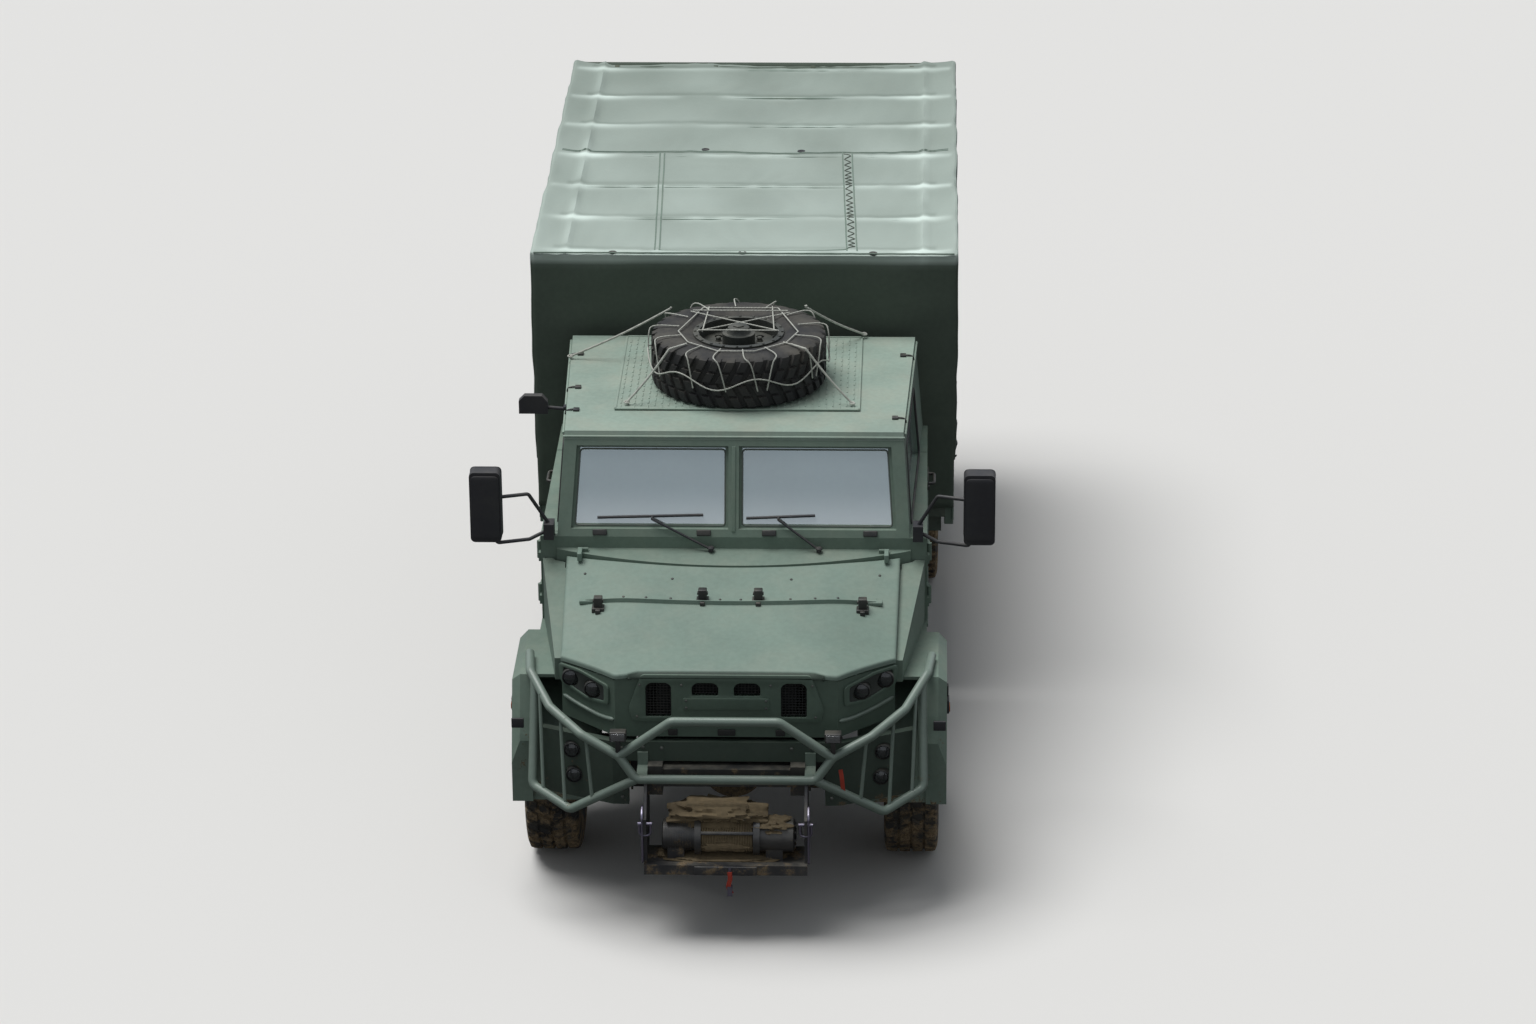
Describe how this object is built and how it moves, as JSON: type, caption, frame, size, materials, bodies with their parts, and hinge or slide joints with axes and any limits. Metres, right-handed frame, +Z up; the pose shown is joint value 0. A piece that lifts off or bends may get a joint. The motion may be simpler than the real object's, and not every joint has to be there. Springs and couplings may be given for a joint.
{
  "type": "military cargo truck",
  "caption": "Light four-wheel-drive military cargo truck with bonneted two-door cab, covered load bed, tubular brush guard, front winch and a spare wheel lashed flat on the cab roof.",
  "frame": {"origin": "on the ground under the middle of the whole truck", "axes": "the truck faces -Y, +X is the truck's own left, +Z is up"},
  "size_m": [2.56, 6.2, 2.4799],
  "materials": {
    "green_paint": "matt sage green military paint",
    "rim_paint": "matt green paint, dusty",
    "black_chassis_paint": "satin black chassis paint",
    "winch_paint": "satin black paint",
    "cast_iron": "painted casting",
    "steel": "galvanised steel",
    "aluminium": "black radiator core",
    "tyre_rubber": "black tyre rubber",
    "flap_rubber": "black sheet rubber",
    "window_glass": "flat tinted glass",
    "lamp_glass": "lamp glass",
    "red_lens": "red lamp lens",
    "black_plastic": "black moulded plastic",
    "seat_cloth": "dark woven seat cloth",
    "canvas": "coated green canvas"
  },
  "bodies": {
    "truck": {"ladder_frame": "black_chassis_paint", "front_axle": "cast_iron", "rear_axle": "cast_iron", "suspension": "black_chassis_paint", "engine": "cast_iron", "transmission": "cast_iron", "propeller_shafts": "black_chassis_paint", "radiator": "aluminium", "exhaust": "black_chassis_paint", "fuel_tank": "black_chassis_paint", "battery_box": "black_chassis_paint", "nose_panel": "green_paint", "front_bumper": "green_paint", "brush_guard": "green_paint", "winch_mount": "winch_paint", "winch": "winch_paint", "shackles": "steel", "head_lamps": "lamp_glass", "fenders": "green_paint", "cowl": "green_paint", "cab_floor": "green_paint", "cab_rear_wall": "green_paint", "cab_sides": "green_paint", "windscreen_frame": "green_paint", "windscreen_glass": "window_glass", "cab_roof": "green_paint", "dashboard": "black_plastic", "seats": "seat_cloth", "mirrors": "black_plastic", "wipers": "black_plastic", "spare_tyre": "tyre_rubber", "spare_rim": "rim_paint", "load_bed": "green_paint", "side_boards": "green_paint", "bow_posts": "green_paint", "bow_beams": "green_paint", "tarpaulin": "canvas", "rear_underrun": "black_chassis_paint", "tail_lamps": "red_lens", "mud_flaps": "flap_rubber", "tow_hitch": "cast_iron"},
    "steer_knuckle_left": {"knuckle_left": "cast_iron"},
    "door_left_body": {"door_left": "green_paint", "door_glass_left": "window_glass"},
    "wheel_front_left": {"tyre_front_left": "tyre_rubber", "rim_front_left": "rim_paint"},
    "wheel_rear_left": {"tyre_rear_left": "tyre_rubber", "rim_rear_left": "rim_paint"},
    "steer_knuckle_right": {"knuckle_right": "cast_iron"},
    "door_right_body": {"door_right": "green_paint", "door_glass_right": "window_glass"},
    "wheel_front_right": {"tyre_front_right": "tyre_rubber", "rim_front_right": "rim_paint"},
    "wheel_rear_right": {"tyre_rear_right": "tyre_rubber", "rim_rear_right": "rim_paint"},
    "hood_lid": {"hood": "green_paint"},
    "tailgate_body": {"tailgate": "green_paint"},
    "steering_wheel_body": {"steering_wheel": "black_plastic"}
  },
  "joints": [
    {"name": "steer_left", "type": "hinge", "parent": "truck", "child": "steer_knuckle_left", "pos_m": [0.712, -2.005, 0.44], "axis": [0, 0, 1], "range_deg": [-30, 30]},
    {"name": "steer_right", "type": "hinge", "parent": "truck", "child": "steer_knuckle_right", "pos_m": [-0.712, -2.005, 0.44], "axis": [0, 0, 1], "range_deg": [-30, 30]},
    {"name": "steering_wheel_turn", "type": "hinge", "parent": "truck", "child": "steering_wheel_body", "pos_m": [0.45, -1.365, 1.4217], "axis": [0, 0.9231, 0.3846], "range_deg": [-420, 420]},
    {"name": "spin_front_left", "type": "hinge", "parent": "steer_knuckle_left", "child": "wheel_front_left", "pos_m": [0.88, -2.005, 0.44], "axis": [1, 0, 0], "continuous": true},
    {"name": "spin_rear_left", "type": "hinge", "parent": "truck", "child": "wheel_rear_left", "pos_m": [0.88, 1.395, 0.44], "axis": [1, 0, 0], "continuous": true},
    {"name": "door_left_hinge", "type": "hinge", "parent": "truck", "child": "door_left_body", "pos_m": [0.962, -1.744, 1.3], "axis": [0, 0, -1], "range_deg": [0, 65]},
    {"name": "spin_front_right", "type": "hinge", "parent": "steer_knuckle_right", "child": "wheel_front_right", "pos_m": [-0.88, -2.005, 0.44], "axis": [1, 0, 0], "continuous": true},
    {"name": "spin_rear_right", "type": "hinge", "parent": "truck", "child": "wheel_rear_right", "pos_m": [-0.88, 1.395, 0.44], "axis": [1, 0, 0], "continuous": true},
    {"name": "door_right_hinge", "type": "hinge", "parent": "truck", "child": "door_right_body", "pos_m": [-0.962, -1.744, 1.3], "axis": [0, 0, 1], "range_deg": [0, 65]},
    {"name": "hood_hinge", "type": "hinge", "parent": "truck", "child": "hood_lid", "pos_m": [0, -1.833, 1.505], "axis": [-1, 0, 0], "range_deg": [0, 50]},
    {"name": "tailgate_hinge", "type": "hinge", "parent": "truck", "child": "tailgate_body", "pos_m": [0, 3.085, 1], "axis": [-1, 0, 0], "range_deg": [0, 178]}
  ],
  "couplings": [
    {"joint": "steer_right", "follows": "steer_left", "ratio": 1},
    {"joint": "steering_wheel_turn", "follows": "steer_left", "ratio": 14}
  ]
}
